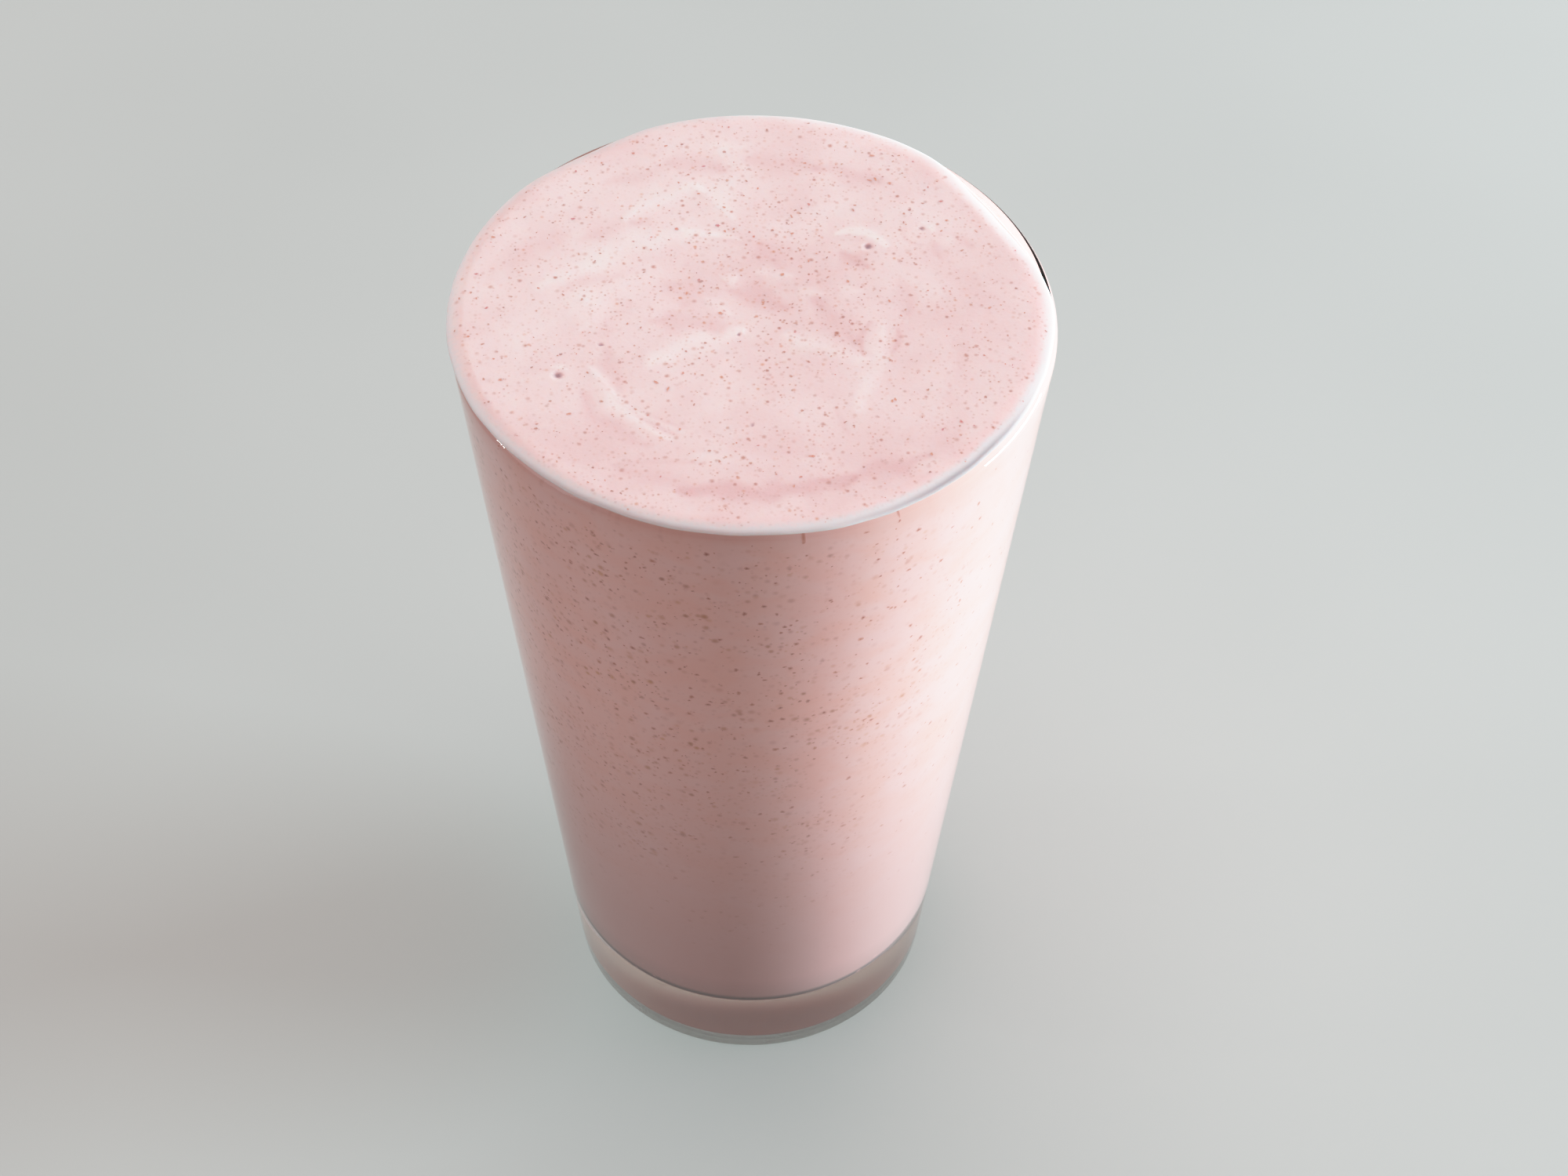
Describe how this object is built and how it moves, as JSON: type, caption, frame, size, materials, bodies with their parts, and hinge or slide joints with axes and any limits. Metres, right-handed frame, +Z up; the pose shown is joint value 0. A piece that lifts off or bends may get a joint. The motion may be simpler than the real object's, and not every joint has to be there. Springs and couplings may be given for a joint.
{
  "type": "strawberry smoothie in a pint glass",
  "caption": "Tapered clear pint glass with a thick base, filled to the brim with a speckled pale pink strawberry smoothie whose swirled top rounds out over the lip.",
  "frame": {"origin": "centre of the glass's foot, on the surface it stands on", "axes": "+Z up along the glass's axis; -Y towards the viewer of the picture; +X to the viewer's right"},
  "size_m": [0.089, 0.089, 0.1503],
  "materials": {
    "clear_glass": "clear polished soda glass",
    "smoothie": "moist pale pink blended drink with fine red-brown flecks"
  },
  "bodies": {
    "root": {"glass": "clear_glass", "smoothie": "smoothie"}
  },
  "joints": []
}
